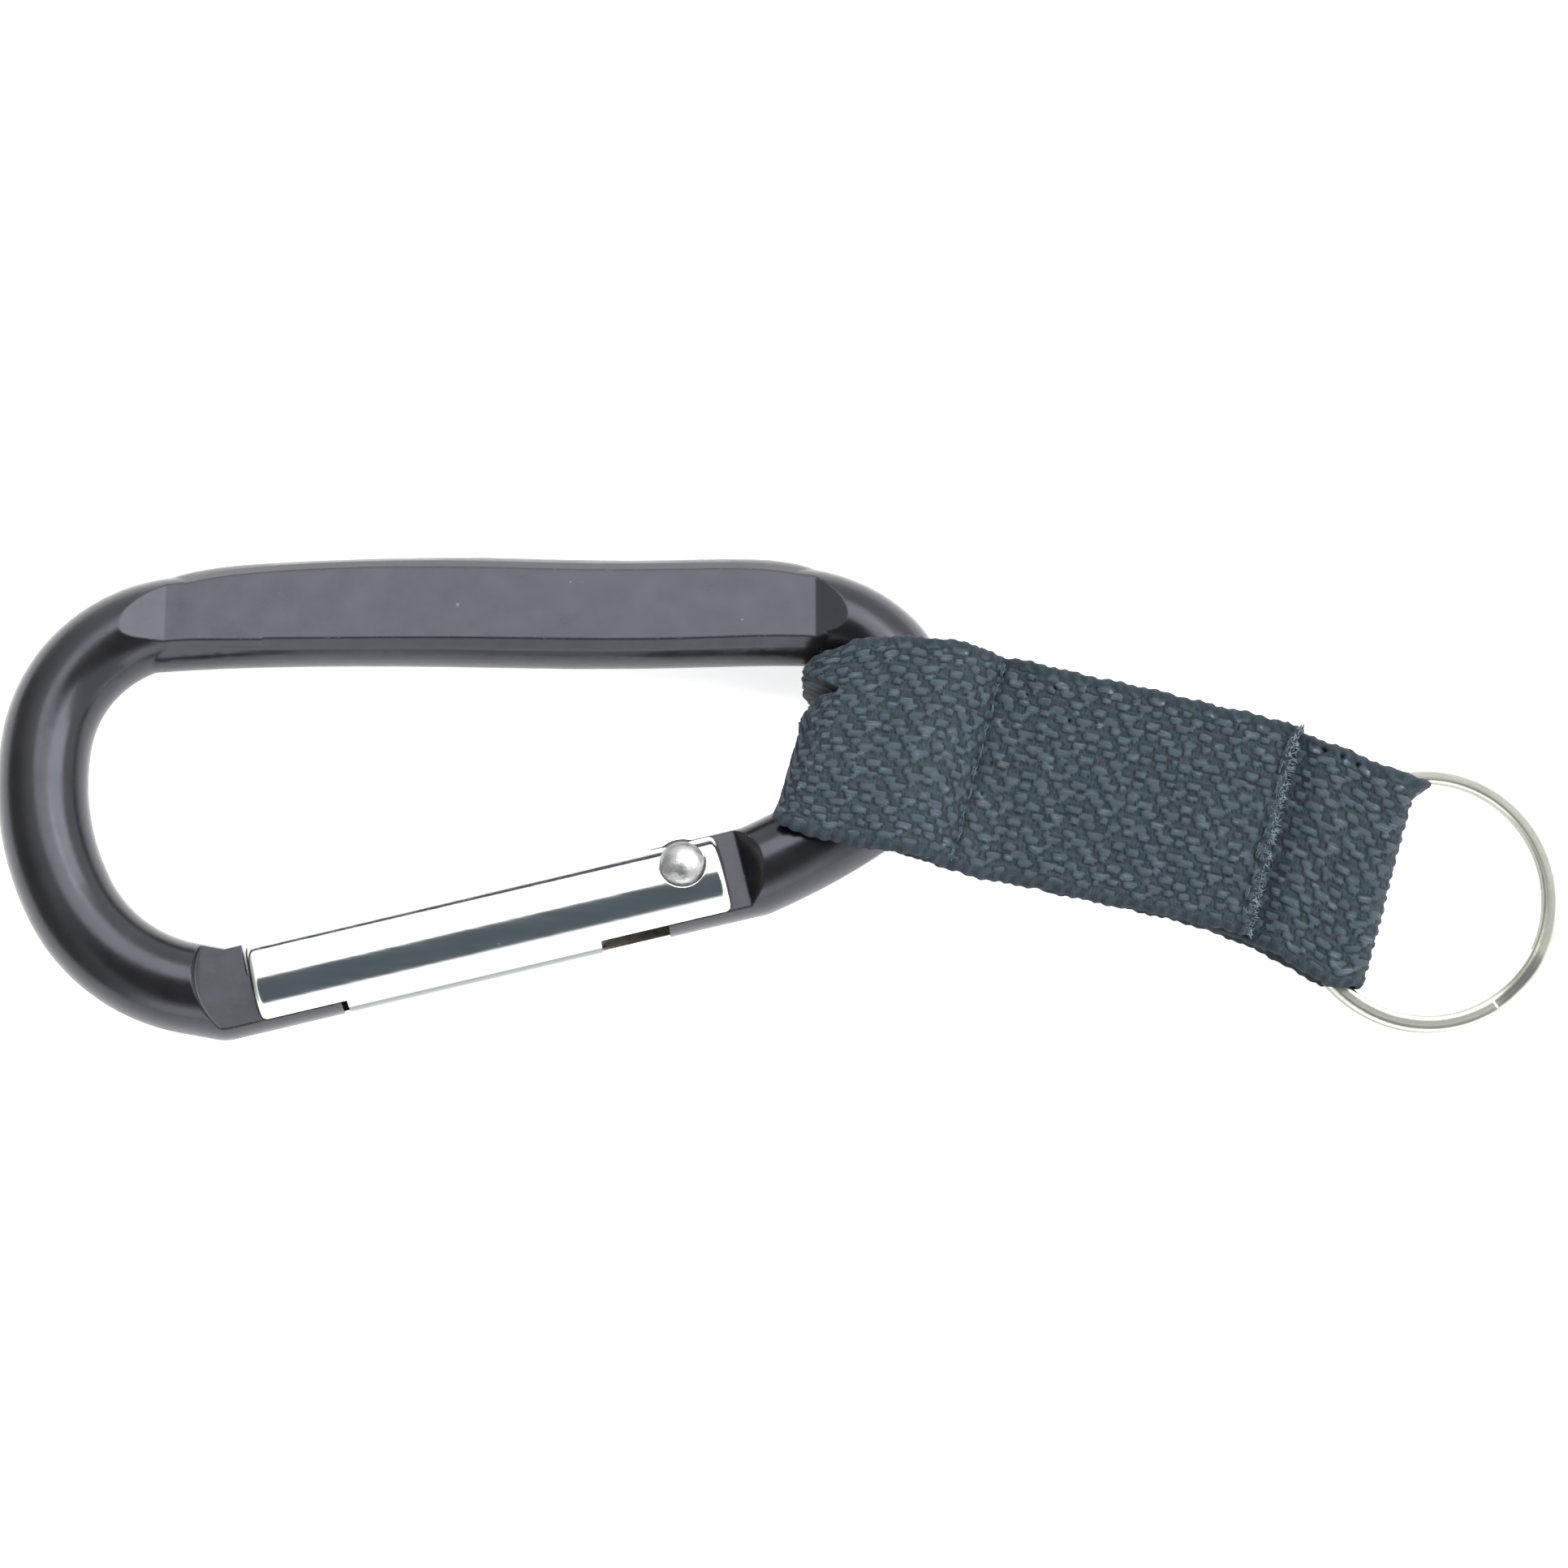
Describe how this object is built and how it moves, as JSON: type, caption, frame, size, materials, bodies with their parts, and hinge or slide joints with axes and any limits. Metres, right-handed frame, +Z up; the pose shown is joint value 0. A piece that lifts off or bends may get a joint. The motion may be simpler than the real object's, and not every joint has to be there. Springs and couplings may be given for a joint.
{
  "type": "carabiner keyring",
  "caption": "Aluminium snap-hook carabiner with a sprung gate, a folded webbing strap and a split ring for keys.",
  "frame": {"origin": "middle of the footprint of the whole keyring lying flat, on the table", "axes": "+X from the hook's wide end towards the split ring, +Y from the gate towards the spine, +Z up from the table"},
  "size_m": [0.1294, 0.0412, 0.0099],
  "materials": {
    "black_anodised": "glossy black anodising on forged aluminium",
    "polished_aluminium": "bare polished aluminium",
    "rivet_metal": "bright domed head",
    "spring_steel": "plain steel",
    "webbing": "dark slate polyester webbing, basket weave",
    "thread": "dark blue-grey sewing thread",
    "nickel": "nickel plate with a faint golden tint"
  },
  "bodies": {
    "hook": {"carabiner_body": "black_anodised"},
    "gate": {"gate": "polished_aluminium", "hinge_rivet": "rivet_metal", "gate_spring": "spring_steel"},
    "plunger": {"spring_plunger": "spring_steel"},
    "strap_loop": {"webbing_loop": "webbing", "stitch_row_loop": "thread"},
    "strap_tail": {"webbing_tail": "webbing", "stitch_row_ring": "thread"},
    "ring": {"split_ring": "nickel"}
  },
  "joints": [
    {"name": "gate_hinge", "type": "hinge", "parent": "hook", "child": "gate", "pos_m": [-0.00775, -0.00666, 0.00493], "axis": [0, 0, -1], "range_deg": [0, 38], "stiffness_Nm_per_rad": 0.02, "springref_deg": -34.38},
    {"name": "plunger_slide", "type": "slide", "parent": "gate", "child": "plunger", "axis": [-0.9722, -0.2343, 0], "range_m": [0, 0.0014], "deforming": ["gate_spring"]},
    {"name": "strap_swivel", "type": "hinge", "parent": "hook", "child": "strap_loop", "pos_m": [0.00211, 0.00633, 0.00493], "axis": [0, 0, 1], "range_deg": [-35, 40]},
    {"name": "strap_bend", "type": "hinge", "parent": "strap_loop", "child": "strap_tail", "pos_m": [0.01946, 0.00092, 0.00476], "axis": [0.2607, 0.9497, 0.1735], "range_deg": [-80, 80]},
    {"name": "ring_spin", "type": "hinge", "parent": "strap_tail", "child": "ring", "pos_m": [0.05366, -0.0085, 0.00347], "axis": [-0.0117, -0.1766, 0.9842], "continuous": true}
  ],
  "couplings": [
    {"joint": "plunger_slide", "follows": "gate_hinge", "m_per_rad": 0.00211}
  ]
}
